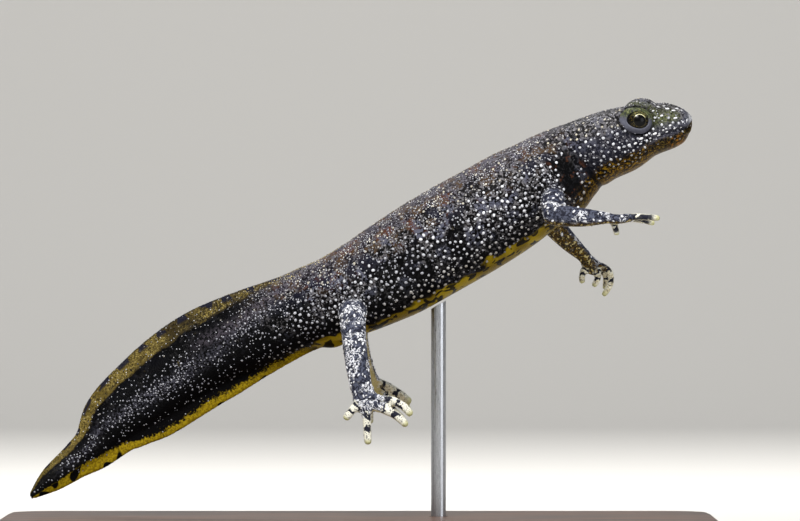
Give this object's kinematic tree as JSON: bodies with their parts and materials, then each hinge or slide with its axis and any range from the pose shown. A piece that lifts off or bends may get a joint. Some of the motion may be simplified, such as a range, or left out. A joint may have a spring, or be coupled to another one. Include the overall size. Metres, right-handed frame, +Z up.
{
  "type": "model of a young great crested newt",
  "caption": "Life-size still model of a swimming newt with warty dark skin, crested tail and spread toes, carried on one rod above a flat display base.",
  "frame": {"origin": "middle of the flat underside of the display base", "axes": "+X towards the newt's snout, +Y towards its left side, +Z up"},
  "size_m": [0.086, 0.04, 0.0552],
  "materials": {
    "skin": "moist satin, painted dark slate with white-tipped warts",
    "fin": "moist satin, olive brown and yellow with black blotches",
    "eye": "high gloss, black pupil in a gold-rimmed dark iris",
    "stand_base": "stained, satin lacquer",
    "stand_rod": "brushed"
  },
  "bodies": {
    "root": {"head": "skin", "neck": "skin", "torso": "skin", "tail": "skin", "arm_left_upper": "skin", "arm_left_lower": "skin", "arm_right_upper": "skin", "arm_right_lower": "skin", "leg_left_upper": "skin", "leg_left_lower": "skin", "leg_right_upper": "skin", "leg_right_lower": "skin", "hand_left": "skin", "hand_right": "skin", "foot_left": "skin", "foot_right": "skin", "tail_fin_upper": "fin", "tail_fin_lower": "fin", "eye_left": "eye", "eye_right": "eye", "stand_base": "stand_base", "stand_rod": "stand_rod"}
  },
  "joints": []
}
